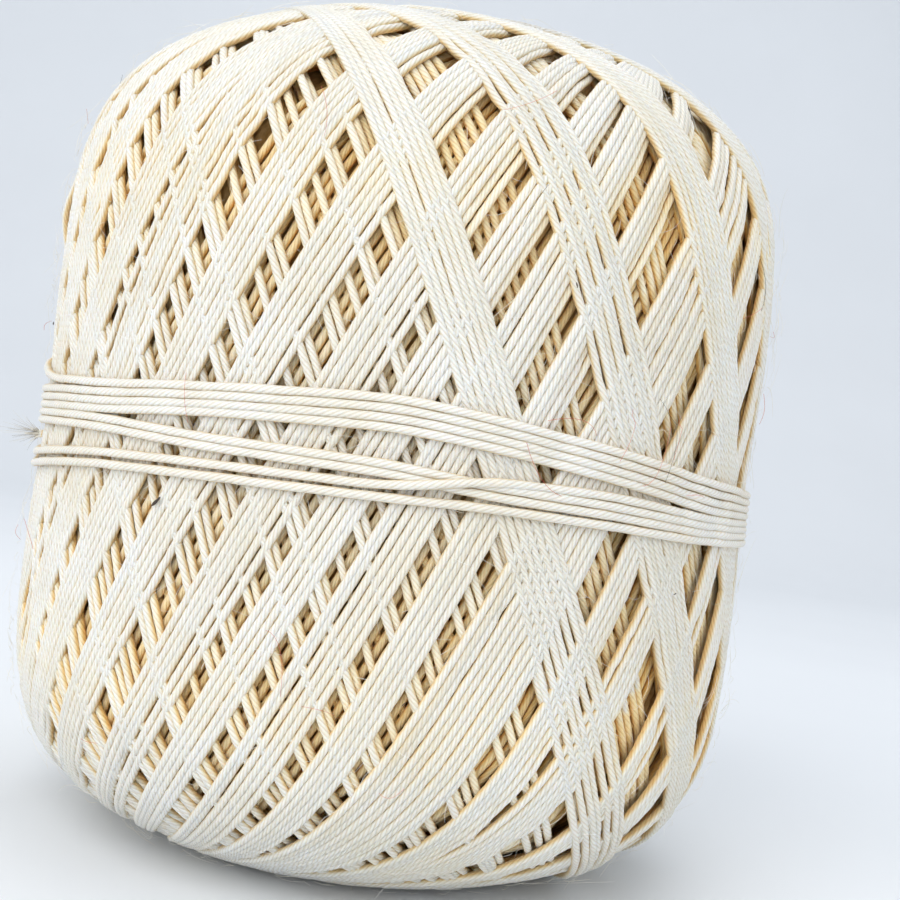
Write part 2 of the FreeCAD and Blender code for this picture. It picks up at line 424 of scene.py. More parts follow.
def make_piece(name, points, faces, material, values=None, vectors=None, layout=None, flat=None):
    """Mesh object from points in millimetres about the middle of the ball, and faces of four
    corners each. values and vectors are attributes by name, layout the bake map per corner, and
    flat marks the faces, such as caps, that aren't shaded smooth."""
    mesh = bpy.data.meshes.new(name)
    mesh.vertices.add(len(points))
    placed = (points + np.array([0, 0, MID_HEIGHT])) * MM
    mesh.vertices.foreach_set("co", placed.astype(np.float32).ravel())
    mesh.loops.add(faces.size)
    mesh.loops.foreach_set("vertex_index", faces.astype(np.int32).ravel())
    mesh.polygons.add(len(faces))
    mesh.polygons.foreach_set("loop_start", np.arange(0, faces.size, 4, dtype=np.int32))
    mesh.update(calc_edges=True)
    smooth = np.ones(len(faces), dtype=bool) if flat is None else ~flat
    mesh.polygons.foreach_set("use_smooth", smooth)
    for label, data in (values or {}).items():
        layer = mesh.attributes.new(label, "FLOAT", "POINT")
        layer.data.foreach_set("value", data.astype(np.float32).ravel())
    for label, data in (vectors or {}).items():
        layer = mesh.attributes.new(label, "FLOAT_VECTOR", "POINT")
        layer.data.foreach_set("vector", data.astype(np.float32).ravel())
    if layout is not None:
        uv = mesh.uv_layers.new(name="OFBake")
        uv.uv.foreach_set("vector", layout.astype(np.float32).ravel())
    mesh.materials.append(material)
    piece = bpy.data.objects.new(name, mesh)
    bpy.context.scene.collection.objects.link(piece)
    return piece


def seen_along(top, centre, across, lift):
    """Whether each place of a thread shows: some part of its width lies at the height field's
    top, or close under it. The answer spreads a little along the thread."""
    seen = np.zeros(len(centre), dtype=bool)
    for offset in (-0.8, -0.4, 0.0, 0.4, 0.8):
        height = np.linalg.norm(centre, axis=-1) + lift * math.sqrt(1 - offset ** 2)
        place = field_place(centre + offset * THREAD_RADIUS * across)
        seen |= height > top[place] - SEEN_DEPTH
    return smoothed(seen.astype(float), 3) > 0.02


def ring_spots(line, steps, closed):
    """Places, as fractional indices, at which rings are put: their number along the line is the
    running total of length over the wanted step."""
    ends = np.roll(line, -1, axis=0) if closed else line[1:]
    starts = line if closed else line[:-1]
    lengths = np.linalg.norm(ends - starts, axis=-1)
    wanted = lengths / steps[:len(lengths)]
    total = np.concatenate([[0], np.cumsum(wanted)])
    count = max(int(round(total[-1])), 4)
    marks = np.linspace(0, total[-1], count + (0 if closed else 1), endpoint=not closed)
    run = np.concatenate([[0], np.cumsum(lengths)])
    index = np.interp(marks, total, np.arange(len(total)))
    return index, np.interp(index, np.arange(len(run)), run)


def sampled(values, index, closed):
    """A row of values read at fractional indices, running on past the end of a closed row."""
    padded = np.concatenate([values, values[:1]]) if closed else values
    low = np.floor(index).astype(int).clip(0, len(padded) - 2)
    share = index - low
    if values.ndim > 1:
        share = share[:, None]
    return padded[low] * (1 - share) + padded[low + 1] * share


def run_length(line):
    """Length once round a closed line."""
    return np.linalg.norm(np.roll(line, -1, axis=0) - line, axis=-1).sum()


def section_axes(centre, along):
    """Unit vectors across a line at its centres: away from the middle of the ball, and level
    with the face."""
    along = unit(along)
    out = unit(centre - (centre * along).sum(-1, keepdims=True) * along)
    return out, np.cross(along, out)


def section_rings(centre, axes, angle, size):
    """Rings of points round centres: centre + size (cos angle out + sin angle across)."""
    out, across = axes
    spokes = np.cos(angle)[..., None] * out[..., None, :]
    spokes = spokes + np.sin(angle)[..., None] * across[..., None, :]
    return centre[..., None, :] + size[..., None, None] * spokes


def section_angles(sides):
    """Angles of the corners of a thread's section."""
    return np.arange(sides) * (2 * np.pi / sides)


def strand_places(run, around):
    """Where each point of a thread lies in it: the cosine and sine of the angle round the
    section, and the run."""
    places = np.empty((*run.shape, len(around), 3))
    places[..., 0] = np.cos(around)
    places[..., 1] = np.sin(around)
    places[..., 2] = run[..., None]
    return places.reshape(-1, 3)


def thread_rings(line, steps, closed, sides, radius, start_run=0.0):
    """Rings of a plied thread along a line of centres. The radius swells and thins a little
    along the run r, R (1 + slub (sin 0.9 r + sin 2.3 r) / 2), and the section turns once in a
    ply lay, so the mesh's long edges follow the plies. Returns points, run, angle round the
    section, and by how many corners the rings' matching plies have moved on, where rings are
    far apart."""
    index, run = ring_spots(line, steps, closed)
    centre = sampled(line, index, closed)
    if closed:
        along = sampled(np.roll(line, -1, axis=0) - np.roll(line, 1, axis=0), index, closed)
    else:
        along = sampled(np.gradient(line, axis=0), index, closed)
    around = section_angles(sides)
    whole, lay_length = run_length(line), PLY_LAY
    if closed:
        lay_length = whole / round(whole / PLY_LAY)
    twist = -2 * np.pi * (run + start_run) / lay_length
    onward = twist[1:]
    if closed:
        onward = np.append(onward, twist[0] - 2 * np.pi * whole / lay_length)
    shift = (-2 * np.rint((onward - twist[:len(onward)]) * sides / (4 * np.pi))).astype(int)
    angle = twist[:, None] + around[None, :]
    swell = 0.5 * (np.sin(0.9 * (run + start_run)) + np.sin(2.3 * (run + start_run)))
    size = radius * (1 + SLUB * swell)
    return section_rings(centre, section_axes(centre, along), angle, size), run, around, shift


def ring_faces(rings, sides, closed, first, shift):
    """Four-cornered faces between each ring and the next, turned outwards."""
    i = np.arange(rings if closed else rings - 1)
    k = np.arange(sides)
    here = i[:, None] * sides
    there = ((i[:, None] + 1) % rings) * sides
    turn = (k + 1) % sides
    moved = (k[None, :] + shift[:, None]) % sides
    moved_turn = (k[None, :] + 1 + shift[:, None]) % sides
    faces = np.stack([here + k, here + turn, there + moved_turn, there + moved], axis=-1)
    return first + faces.reshape(-1, 4)


def cap_faces(sides):
    """Flat cap on a ring with an even number of sides, as a strip of four-cornered faces."""
    k = np.arange(sides // 2 - 1)
    return np.stack([(sides - k) % sides, k + 1, k + 2, sides - 1 - k], axis=-1)


def row_count(length):
    """Rows of the bake map that a length of thread takes up."""
    return int(np.ceil(length / ROW_LENGTH)) + 1


def layout_rows(run, next_run, sides, first_row, rows):
    """Bake map of a thread: its length is cut into rows, laid one above the other, and the way
    round it runs up each row."""
    row = np.floor(run / ROW_LENGTH)
    left = (run - row * ROW_LENGTH) / ROW_LENGTH
    right = (next_run - row * ROW_LENGTH) / ROW_LENGTH
    k = np.arange(sides)
    low = (first_row + row[:, None] + ROW_MARGIN + ROW_FILL * k[None, :] / sides) / rows
    high = low + ROW_FILL / sides / rows
    here = ROW_REACH * left[:, None] * np.ones(sides)
    there = ROW_REACH * right[:, None] * np.ones(sides)
    places = ((here, low), (here, high), (there, high), (there, low))
    corners = [np.stack(place, -1) for place in places]
    return np.stack(corners, axis=2).reshape(-1, 2)


def thread_piece(name, threads, material, cover):
    """One piece from several threads, each given as rings, run, angles, how far its matching
    plies move on, whether closed, whole length and tone. Every point keeps its place in the
    thread and its depth under the face."""
    points, faces, places, depths, tones, layouts, flat = [], [], [], [], [], [], []
    rows = sum(row_count(length) for *_, length, _ in threads)
    first, first_row = 0, 0
    for rings, run, around, shift, closed, length, tone in threads:
        count, sides = rings.shape[:2]
        spots = rings.reshape(-1, 3)
        points.append(spots)
        faces.append(ring_faces(count, sides, closed, first, shift))
        flat.append(np.zeros(len(faces[-1]), dtype=bool))
        places.append(strand_places(run, around))
        depths.append(depth_under(cover, spots))
        tones.append(np.full(len(spots), tone))
        next_run = np.append(run[1:], length) if closed else run[1:]
        layouts.append(layout_rows(run[:len(next_run)], next_run, sides, first_row, rows))
        if not closed:
            caps = cap_faces(sides)
            faces.append(first + caps[:, ::-1])
            faces.append(first + (count - 1) * sides + caps)
            flat.append(np.ones(2 * len(caps), dtype=bool))
            corners = np.tile(CAP_CORNERS, (2 * len(caps), 1))
            layouts.append(corners * [1, 0.2 / rows] + [0, (first_row + 0.1) / rows])
        first += len(spots)
        first_row += row_count(length)
    values = {"depth": np.concatenate(depths), "tone": np.concatenate(tones)}
    return make_piece(
        name, np.concatenate(points), np.concatenate(faces), material,
        values, {"strand": np.concatenate(places)}, np.concatenate(layouts), np.concatenate(flat),
    )


def covering(top):
    """The height field spread sideways, so that it gives the face's level over a gap too."""
    cover = top.copy()
    for _ in range(COVER_SPREAD):
        beside = np.maximum(np.roll(cover, 1, axis=0), np.roll(cover, -1, axis=0))
        cover = np.maximum(cover, beside)
        above = np.maximum(cover[:, :-2], cover[:, 2:])
        cover[:, 1:-1] = np.maximum(cover[:, 1:-1], above)
    return cover


def depth_under(cover, points):
    """How far points lie under the face's level, seen from the middle of the ball. Points are in
    the grooved shape, so the groove is put back first."""
    under = cover[field_place(points)] - np.linalg.norm(points, axis=-1)
    return np.clip(under - groove(points[:, 2]), 0, 6)


def band_pieces(stem, lines, top, cover, seen_step, buried_step):
    """Pieces of thread from the centre lines of one pass, as many loops in each as its number
    of triangles allows."""
    batches, load = [[]], 0
    for line in lines:
        across = sideways(unit(line))
        angle = np.degrees(np.arcsin(line[:, 2] / np.linalg.norm(line, axis=-1)))
        lift = SQUASH * THREAD_RADIUS * slant(angle)
        seen = seen_along(top, line, across, lift)
        steps = np.where(seen, seen_step, buried_step)
        grooved = pressed_in(line)
        grooved[:, 2] = np.clip(grooved[:, 2], -STANDING_HEIGHT, STANDING_HEIGHT)
        tone = rng.normal(0, 1)
        rings = thread_rings(grooved, steps, True, SIDES, THREAD_RADIUS)
        triangles = 2 * rings[0].shape[0] * SIDES
        if load + triangles > PIECE_TRIANGLES:
            batches.append([])
            load = 0
        batches[-1].append((*rings, True, run_length(grooved), tone))
        load += triangles
    names = ["%s_%02d" % (stem, i + 1) for i in range(len(batches))]
    return [thread_piece(name, batch, FACE_COTTON, cover) for name, batch in zip(names, batches)]


def strands(paths, radii, sides, lay_length=0.0):
    """Points, faces and run of many fine strands at once. paths holds each strand's centres,
    radii the radius at each centre; the section turns once in a lay length where one is given."""
    count, rings = paths.shape[:2]
    lengths = np.linalg.norm(np.diff(paths, axis=1), axis=-1)
    run = np.concatenate([np.zeros((count, 1)), np.cumsum(lengths, axis=1)], axis=1)
    turned = 2 * np.pi * run / lay_length if lay_length else 0 * run
    angle = section_angles(sides)[None, None, :] - turned[..., None]
    axes = section_axes(paths, np.gradient(paths, axis=1))
    points = section_rings(paths, axes, angle, radii)
    walls = ring_faces(rings, sides, False, 0, np.zeros(rings - 1, dtype=int))
    caps = cap_faces(sides)
    one = np.concatenate([walls, caps[:, ::-1], (rings - 1) * sides + caps])
    faces = one[None] + (np.arange(count) * rings * sides)[:, None, None]
    return points.reshape(-1, 3), faces.reshape(-1, 4), run


# ---------------------------------------------------------------- materials

def new_material(name):
    """A material, its node tree, and the shader in it."""
    material = bpy.data.materials.new(name)
    material.use_nodes = True
    return material, material.node_tree, material.node_tree.nodes["Principled BSDF"]


def give(tree, socket, value):
    """Feeds a socket from another one, or sets it to a value."""
    if isinstance(value, bpy.types.NodeSocket):
        tree.links.new(value, socket)
    else:
        socket.default_value = value


def dress(tree, shader, colour, roughness, gloss):
    """A shader's colour, roughness and gloss, each from a socket or a value."""
    give(tree, shader.inputs["Base Color"], colour)
    give(tree, shader.inputs["Roughness"], roughness)
    shader.inputs["Specular IOR Level"].default_value = gloss


def attribute(tree, name):
    """Node that reads a mesh attribute."""
    node = tree.nodes.new("ShaderNodeAttribute")
    node.attribute_name = name
    return node


def ramp(tree, source, stops):
    """Colour ramp from (place, colour) stops, fed by a number."""
    node = tree.nodes.new("ShaderNodeValToRGB")
    elements = node.color_ramp.elements
    while len(elements) < len(stops):
        elements.new(0.5)
    for element, (place, colour) in zip(elements, stops):
        element.position = place
        element.color = (*colour, 1)
    tree.links.new(source, node.inputs["Fac"])
    return node.outputs["Color"]


def mixed(tree, kind, amount, first, second):
    """Colour mix of a kind; amount, first and second are sockets or values."""
    node = tree.nodes.new("ShaderNodeMix")
    node.data_type = "RGBA"
    node.blend_type = kind
    for place, value in ((0, amount), (6, first), (7, second)):
        give(tree, node.inputs[place], value)
    return node.outputs[2]


def maths(tree, operation, first, second=0.0, third=0.0):
    """A sum of one kind; its terms are sockets or values."""
    node = tree.nodes.new("ShaderNodeMath")
    node.operation = operation
    for socket, value in zip(node.inputs, (first, second, third)):
        give(tree, socket, value)
    return node.outputs[0]


def noise(tree, vector, stretch, scale, detail):
    """Noise on a vector, stretched along its axes."""
    stretched = tree.nodes.new("ShaderNodeMapping")
    stretched.inputs["Scale"].default_value = stretch
    tree.links.new(vector, stretched.inputs["Vector"])
    node = tree.nodes.new("ShaderNodeTexNoise")
    node.inputs["Scale"].default_value = scale
    node.inputs["Detail"].default_value = detail
    node.inputs["Roughness"].default_value = 0.65
    tree.links.new(stretched.outputs["Vector"], node.inputs["Vector"])
    return node.outputs["Fac"]


def bumped(tree, shader, height, strength, distance):
    """Relief from a height, distance metres deep at full strength."""
    bump = tree.nodes.new("ShaderNodeBump")
    bump.inputs["Strength"].default_value = strength
    bump.inputs["Distance"].default_value = distance
    tree.links.new(height, bump.inputs["Height"])
    tree.links.new(bump.outputs["Normal"], shader.inputs["Normal"])


def object_place(tree):
    """Place on the ball, in metres."""
    return tree.nodes.new("ShaderNodeTexCoord").outputs["Object"]


def outwardness(tree):
    """How far the surface faces away from the middle of the ball: the cosine between its normal
    and the line from the middle, nothing on a thread's flanks and one on its crown."""
    place = tree.nodes.new("ShaderNodeTexCoord")
    from_middle = tree.nodes.new("ShaderNodeVectorMath")
    from_middle.operation = "SUBTRACT"
    from_middle.inputs[1].default_value = (0, 0, MID_HEIGHT * MM)
    tree.links.new(place.outputs["Object"], from_middle.inputs[0])
    line = tree.nodes.new("ShaderNodeVectorMath")
    line.operation = "NORMALIZE"
    tree.links.new(from_middle.outputs["Vector"], line.inputs[0])
    facing = tree.nodes.new("ShaderNodeVectorMath")
    facing.operation = "DOT_PRODUCT"
    tree.links.new(line.outputs["Vector"], facing.inputs[0])
    tree.links.new(place.outputs["Normal"], facing.inputs[1])
    return facing.outputs["Value"]


def cotton(name, light, deep):
    """Plied cotton: pale on the face, with painted shade, from cream to ochre brown, the deeper it
    lies under the face, painted shade in the grooves between plies, a warmer painted shade on a
    thread's flanks, where its neighbours lie, fine fibres lying along the plies, and each loop a
    little lighter or darker. Natural cotton is also faintly greyer and yellower in patches a
    centimetre across. The grooves between plies are where the cosine of PLIES times the angle round
    the section is lowest, made narrow by a power."""
    material, tree, shader = new_material(name)
    depth = maths(tree, "DIVIDE", attribute(tree, "depth").outputs["Fac"], DEEPEST)
    strand = attribute(tree, "strand").outputs["Vector"]
    fibres = noise(tree, strand, (5.0, 5.0, 1.1), 1.6, 4.0)
    patches = noise(tree, object_place(tree), (1.0, 1.0, 1.0), 90.0, 2.0)
    # Painted shade: the deeper a point lies under the face, the more ochre and darker its colour.
    shade = ramp(tree, depth, (
        (0.0, light), (0.24, light), (0.38, deep[0]), (0.58, deep[1]), (0.80, deep[2]), (1.0, deep[3]),
    ))
    streaks = ramp(tree, fibres, ((0.30, (0.82, 0.77, 0.67)), (0.60, (1, 1, 1))))
    colour = mixed(tree, "MULTIPLY", 0.5, shade, streaks)
    split = tree.nodes.new("ShaderNodeSeparateXYZ")
    tree.links.new(strand, split.inputs["Vector"])
    around = maths(tree, "ARCTAN2", split.outputs["Y"], split.outputs["X"])
    # Painted shade in the grooves between plies: the colour is multiplied towards a darker tan there.
    # The same groove also sets the relief below.
    waves = maths(tree, "COSINE", maths(tree, "MULTIPLY", around, PLIES))
    valley = maths(tree, "MULTIPLY_ADD", waves, -0.5, 0.5)
    ply_groove_shade_and_relief = maths(tree, "POWER", valley, 2.2)
    amount = maths(tree, "MULTIPLY", ply_groove_shade_and_relief, 0.45)
    colour = mixed(tree, "MULTIPLY", amount, colour, (0.74, 0.62, 0.44, 1))
    tone = maths(tree, "MULTIPLY_ADD", attribute(tree, "tone").outputs["Fac"], 0.12, 0.5)
    tint = ramp(tree, tone, (
        (0.2, (0.93, 0.90, 0.84)), (0.5, (1, 1, 1)), (0.85, (1.0, 0.985, 0.94)),
    ))
    colour = mixed(tree, "MULTIPLY", 1.0, colour, tint)
    # Painted shade on a thread's flanks, where its neighbours lie: warmer and darker the less the
    # surface faces away from the middle.
    painted_flank_shade = ramp(tree, outwardness(tree), (
        (0.0, (0.95, 0.73, 0.42)), (0.25, (0.98, 0.85, 0.62)),
        (0.50, (1.0, 0.96, 0.88)), (0.72, (1, 1, 1)),
    ))
    colour = mixed(tree, "MULTIPLY", 1.0, colour, painted_flank_shade)
    worn = ramp(tree, patches, ((0.35, (1, 1, 1)), (0.70, (0.93, 0.89, 0.80))))
    colour = mixed(tree, "MULTIPLY", 0.8, colour, worn)
    dress(tree, shader, colour, 0.72, 0.28)
    shader.inputs["Subsurface Weight"].default_value = 0.35
    shader.inputs["Subsurface Radius"].default_value = (1.0, 0.75, 0.5)
    shader.inputs["Subsurface Scale"].default_value = 0.0007
    shader.inputs["Sheen Weight"].default_value = 0.2
    shader.inputs["Sheen Roughness"].default_value = 0.5
    fluff = maths(tree, "MULTIPLY", fibres, 0.8)
    relief = maths(tree, "MULTIPLY_ADD", ply_groove_shade_and_relief, -0.9, fluff)
    bumped(tree, shader, relief, 0.8, 0.00007)
    return material


def bed_cotton_painted_shade(name):
    """Thread deep in the ball, too deep to follow one by one, coloured as painted shade: two crossing
    sets of lines, from sines of height plus and minus azimuth, lighter brown on their ridges and
    darkest brown between them."""
    material, tree, shader = new_material(name)
    lines = attribute(tree, "lines").outputs["Fac"]
    fibres = noise(tree, object_place(tree), (1.0, 1.0, 0.5), 2600.0, 3.0)
    # Painted shade: dark brown between the ridges, light ochre on them.
    shade = ramp(tree, lines, (
        (0.0, (0.22, 0.12, 0.035)), (0.5, (0.58, 0.36, 0.12)), (1.0, (0.88, 0.63, 0.28)),
    ))
    streaks = ramp(tree, fibres, ((0.3, (0.7, 0.62, 0.5)), (0.65, (1, 1, 1))))
    colour = mixed(tree, "MULTIPLY", 0.7, shade, streaks)
    dress(tree, shader, colour, 0.85, 0.15)
    bumped(tree, shader, fibres, 0.6, 0.0002)
    return material


def kraft_paper(name, tone):
    """Brown paper wound in a spiral: a dark seam line up a helix, where angle and height add to
    whole turns, over fine fibres that lie round the tube and small darker specks."""
    material, tree, shader = new_material(name)
    place = object_place(tree)
    split = tree.nodes.new("ShaderNodeSeparateXYZ")
    tree.links.new(place, split.inputs["Vector"])
    angle = maths(tree, "ARCTAN2", split.outputs["Y"], split.outputs["X"])
    turns = maths(tree, "DIVIDE", angle, 2 * math.pi)
    climb = maths(tree, "MULTIPLY_ADD", split.outputs["Z"], 1 / KRAFT_STRIP, turns)
    share = maths(tree, "FRACT", climb)
    seam = ramp(tree, share, (
        (0.0, (0.35, 0.32, 0.30)), (0.012, (0.45, 0.42, 0.40)),
        (0.022, (1, 1, 1)), (1.0, (0.97, 0.97, 0.97)),
    ))
    fibres = noise(tree, place, (1.0, 1.0, 5.0), 420.0, 6.0)
    specks = noise(tree, place, (1.0, 1.0, 1.0), 2400.0, 2.0)
    dark = tuple(0.72 * part for part in tone)
    pale = tuple(1.15 * part for part in tone)
    shade = ramp(tree, fibres, ((0.30, dark), (0.55, tone), (0.75, pale)))
    spots = ramp(tree, specks, ((0.62, (1, 1, 1)), (0.72, (0.62, 0.55, 0.46))))
    colour = mixed(tree, "MULTIPLY", 0.7, shade, spots)
    colour = mixed(tree, "MULTIPLY", 0.8, colour, seam)
    rough = maths(tree, "MULTIPLY_ADD", fibres, 0.25, 0.62)
    dress(tree, shader, colour, rough, 0.3)
    bumped(tree, shader, fibres, 0.35, 0.0001)
    return material


def stray_hair(name, stops):
    """Loose fibres: a shade picked by the strand's own tone, a little glossier than thread."""
    material, tree, shader = new_material(name)
    mottle = noise(tree, object_place(tree), (1.0, 1.0, 1.0), 900.0, 2.0)
    shade = ramp(tree, attribute(tree, "tone").outputs["Fac"], stops)
    streaks = ramp(tree, mottle, ((0.3, (0.8, 0.78, 0.74)), (0.6, (1, 1, 1))))
    colour = mixed(tree, "MULTIPLY", 0.6, shade, streaks)
    dress(tree, shader, colour, 0.55, 0.35)
    return material


def studio_board(name, colour):
    """Matt board with a faint, broad mottle."""
    material, tree, shader = new_material(name)
    grain = noise(tree, object_place(tree), (1.0, 1.0, 1.0), 6.0, 3.0)
    shade = ramp(tree, grain, ((0.3, tuple(0.97 * part for part in colour)), (0.7, colour)))
    tree.links.new(shade, shader.inputs["Base Color"])
    shader.inputs["Roughness"].default_value = 0.9
    return material


DEEPEST = 3.2               # millimetres under the face where the cotton's painted shade is deepest
KRAFT_STRIP = 0.031         # metres of tube that one turn of the paper strip covers
COTTON_LIGHT = (0.843, 0.843, 0.818)
# Painted shade of the cotton under the face, from just under it to deepest.
COTTON_PAINTED_DEPTH_SHADES = ((0.93, 0.88, 0.74), (0.96, 0.82, 0.54), (0.94, 0.70, 0.33), (0.76, 0.47, 0.15))
FACE_COTTON = cotton("face_cotton", COTTON_LIGHT, COTTON_PAINTED_DEPTH_SHADES)
WAIST_COTTON = cotton("waist_cotton", (0.846, 0.845, 0.818), COTTON_PAINTED_DEPTH_SHADES)
BED_COTTON_PAINTED_SHADE = bed_cotton_painted_shade("bed_cotton_painted_shade")
LINT = stray_hair("cotton_lint", ((0.0, (0.80, 0.76, 0.66)), (1.0, (0.93, 0.91, 0.86))))
STRAY = stray_hair("stray_fibres", (
    (0.0, (0.03, 0.025, 0.02)), (0.45, (0.10, 0.07, 0.05)),
    (0.55, (0.55, 0.10, 0.06)), (1.0, (0.75, 0.25, 0.16)),
))
FRAYED = stray_hair("frayed_cotton", (
    (0.0, (0.22, 0.20, 0.18)), (0.4, (0.60, 0.55, 0.46)), (0.8, (0.89, 0.86, 0.77)),
))
KRAFT_SHADES = {
    "core_inner_ply": (0.46, 0.33, 0.20),
    "core_middle_ply": (0.40, 0.28, 0.165),
    "core_outer_ply": (0.43, 0.30, 0.18),
}


# ---------------------------------------------------------------- the ball

bed, top, under_lines, face_lines = wind_ball()
cover = covering(top)
slacken(face_lines)

face_pieces = band_pieces("face_bands", face_lines, top, cover, SEEN_STEP, BURIED_STEP)
under_pieces = band_pieces(
    "under_bands", under_lines, top, cover, UNDER_SEEN_STEP, UNDER_BURIED_STEP,
)


def stands_for(piece, slot, *nodes):
    """Puts a piece on the ball's body and lets it stand for CAD nodes."""
    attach(piece, "root")
    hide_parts(*nodes)


for piece in face_pieces:
    stands_for(piece, "cotton_winding", "face_winding")
for piece in under_pieces:
    stands_for(piece, "cotton_winding", "outer_winding")


def waist_pieces():
    """The thread round the waist, cut at the back into its turns, and its cut end. Returns the
    pieces and the thread's centre line."""
    line, azimuth = waist_line(top)
    line = pressed_in(line)
    lengths = np.linalg.norm(np.diff(line, axis=0), axis=-1)
    run_to = np.concatenate([[0], np.cumsum(lengths)])
    turns = len(WAIST_HEIGHTS) + 1
    backs = [int(np.argmin(np.abs(azimuth - 180 - 360 * i))) for i in range(turns)]
    pieces = []
    for i, (first, last) in enumerate(zip([0] + backs, backs + [len(line) - 1])):
        part = line[first:last + 1]
        steps = np.full(len(part), SEEN_STEP)
        rings = thread_rings(part, steps, False, WAIST_SIDES, WAIST_THREAD_RADIUS, run_to[first])
        thread = (*rings, False, run_to[last] - run_to[first], 0.3 * rng.normal())
        name = "waist_thread_%d" % (i + 1) if i < turns else "waist_thread_tail"
        pieces.append(thread_piece(name, [thread], WAIST_COTTON, cover))
    return pieces, line


waist, waist_centre = waist_pieces()
for i, piece in enumerate(waist):
    node = "waist_turn_%d" % (i + 1) if i + 1 < len(waist) else "thread_end"
    stands_for(piece, "waist_thread", node)


FRAYED_HAIRS = 90
FRAYED_MARKS = 7            # places along each ply and hair


def frayed_end():
    """The cut end come apart: plies that spread as they run on, thinning, and loose fibres that
    stand out round them. Each follows start + length (t ahead + spread t^1.4 around + t^2
    bend)."""
    tip = waist_centre[-1]
    along = unit(tip - waist_centre[-4])
    out = unit(tip * [1, 1, 0])
    side = np.cross(along, out)
    plies, hairs = PLIES, FRAYED_HAIRS
    count = plies + hairs
    turn = np.concatenate([np.arange(plies) * 2 * np.pi / plies, rng.uniform(0, 2 * np.pi, hairs)])
    length = np.concatenate([rng.uniform(0.6, 0.9, plies), rng.uniform(0.6, 2.2, hairs)])
    spread = np.concatenate([np.full(plies, 0.45), rng.uniform(0.3, 1.1, hairs)])
    t = np.linspace(0, 1, FRAYED_MARKS)
    around = np.cos(turn)[:, None] * out + np.sin(turn)[:, None] * side
    start = tip + 0.22 * around - 0.5 * along
    ahead = along * 0.55 + out * 0.75
    bend = rng.normal(0, 0.25, (count, 3))
    paths = (
        start[:, None, :]
        + (length[:, None] * t)[..., None] * ahead
        + (length[:, None] * spread[:, None] * t ** 1.4)[..., None] * around[:, None, :]
        + (length[:, None] * t ** 2)[..., None] * bend[:, None, :]
    )
    thick = np.concatenate([np.full(plies, 0.15), np.full(hairs, 0.02)])
    radii = thick[:, None] * (1 - 0.55 * t)
    points, faces, _ = strands(paths, radii, SIDES)
    tone = np.concatenate([np.full(plies, 0.8), rng.uniform(0.0, 0.8, hairs)])
    tone = np.repeat(tone, FRAYED_MARKS * SIDES)
    return make_piece("frayed_end", points, faces, FRAYED, {"tone": tone})


stands_for(frayed_end(), "waist_thread", "thread_end")


def face_frame(azimuth, angle, above):
    """Places on the face's cover, and unit vectors there: outwards, round the ball, and up the
    face. Outwards is the polar outline's normal, distance times the direction from the middle
    less the outline's slope upwards."""
    a, tall = np.radians(azimuth), np.radians(angle)
    direction = direction_at(a, tall)
    upward = direction_at(a, tall + np.pi / 2)
    level = level_axes(a)[1]
    slope = (reach(angle + 0.5) - reach(angle - 0.5)) / math.radians(1.0)
    out = unit(reach(angle)[:, None] * direction - slope[:, None] * upward)
    place = field_place(direction * reach(angle)[:, None])
    return direction * (cover[place] + above)[:, None], out, level, np.cross(out, level)


def fibre_paths(azimuth, angle, length, rise, lift_off, heading, curl, marks):
    """Curved hairs on the face: start + length t ahead + (rise sin(pi t) + lift_off t^2) out
    + curl length (t^2 - 0.3 t) aside, less the ball's own curve, (length t)^2 / 2R."""
    start, out, level, up = face_frame(azimuth, angle, 0.02)
    ahead = np.cos(heading)[:, None] * level + np.sin(heading)[:, None] * up
    aside = np.cross(out, ahead)
    t = np.linspace(0, 1, marks)
    lifted = rise[:, None] * np.sin(np.pi * t) + lift_off[:, None] * t ** 2
    paths = (
        start[:, None, :]
        + (length[:, None] * t)[..., None] * ahead[:, None, :]
        + lifted[..., None] * out[:, None, :]
        + (curl[:, None] * length[:, None] * (t ** 2 - 0.3 * t))[..., None] * aside[:, None, :]
    )
    bulge = (length[:, None] * t) ** 2 / (2 * BALL_RADIUS)
    paths = pressed_in(paths - bulge[..., None] * out[:, None, :])
    paths[..., 2] = np.clip(paths[..., 2], 0.1 - MID_HEIGHT, MID_HEIGHT + 1.5)
    return paths


HAIR_SIDES = 4
LINT_COUNT = 2600
LINT_TAPER = (0.8, 1, 1, 0.9, 0.75, 0.45)       # thickness at the places along a hair


def lint():
    """Fine cotton hairs all over the ball, lying on it or standing off it a little."""
    azimuth = rng.uniform(-180, 180, LINT_COUNT)
    angle = np.degrees(np.arcsin(rng.uniform(-0.88, 0.88, LINT_COUNT)))
    length = np.clip(rng.lognormal(0.75, 0.45, LINT_COUNT), 0.8, 6.5)
    free = rng.uniform(0, 1, LINT_COUNT) < 0.55
    lift_off = np.where(free, rng.uniform(0.1, 0.9, LINT_COUNT) * length * 0.42, 0)
    paths = fibre_paths(
        azimuth, angle, length, rng.uniform(0.05, 0.35, LINT_COUNT), lift_off,
        rng.uniform(0, 2 * np.pi, LINT_COUNT), rng.normal(0, 0.5, LINT_COUNT), len(LINT_TAPER),
    )
    radii = rng.uniform(0.010, 0.019, LINT_COUNT)[:, None] * np.array(LINT_TAPER)
    points, faces, _ = strands(paths, radii, HAIR_SIDES)
    tone = np.repeat(rng.uniform(0, 1, LINT_COUNT), len(LINT_TAPER) * HAIR_SIDES)
    return make_piece("cotton_lint", points, faces, LINT, {"tone": tone})


stands_for(lint(), "cotton_winding", "face_winding")

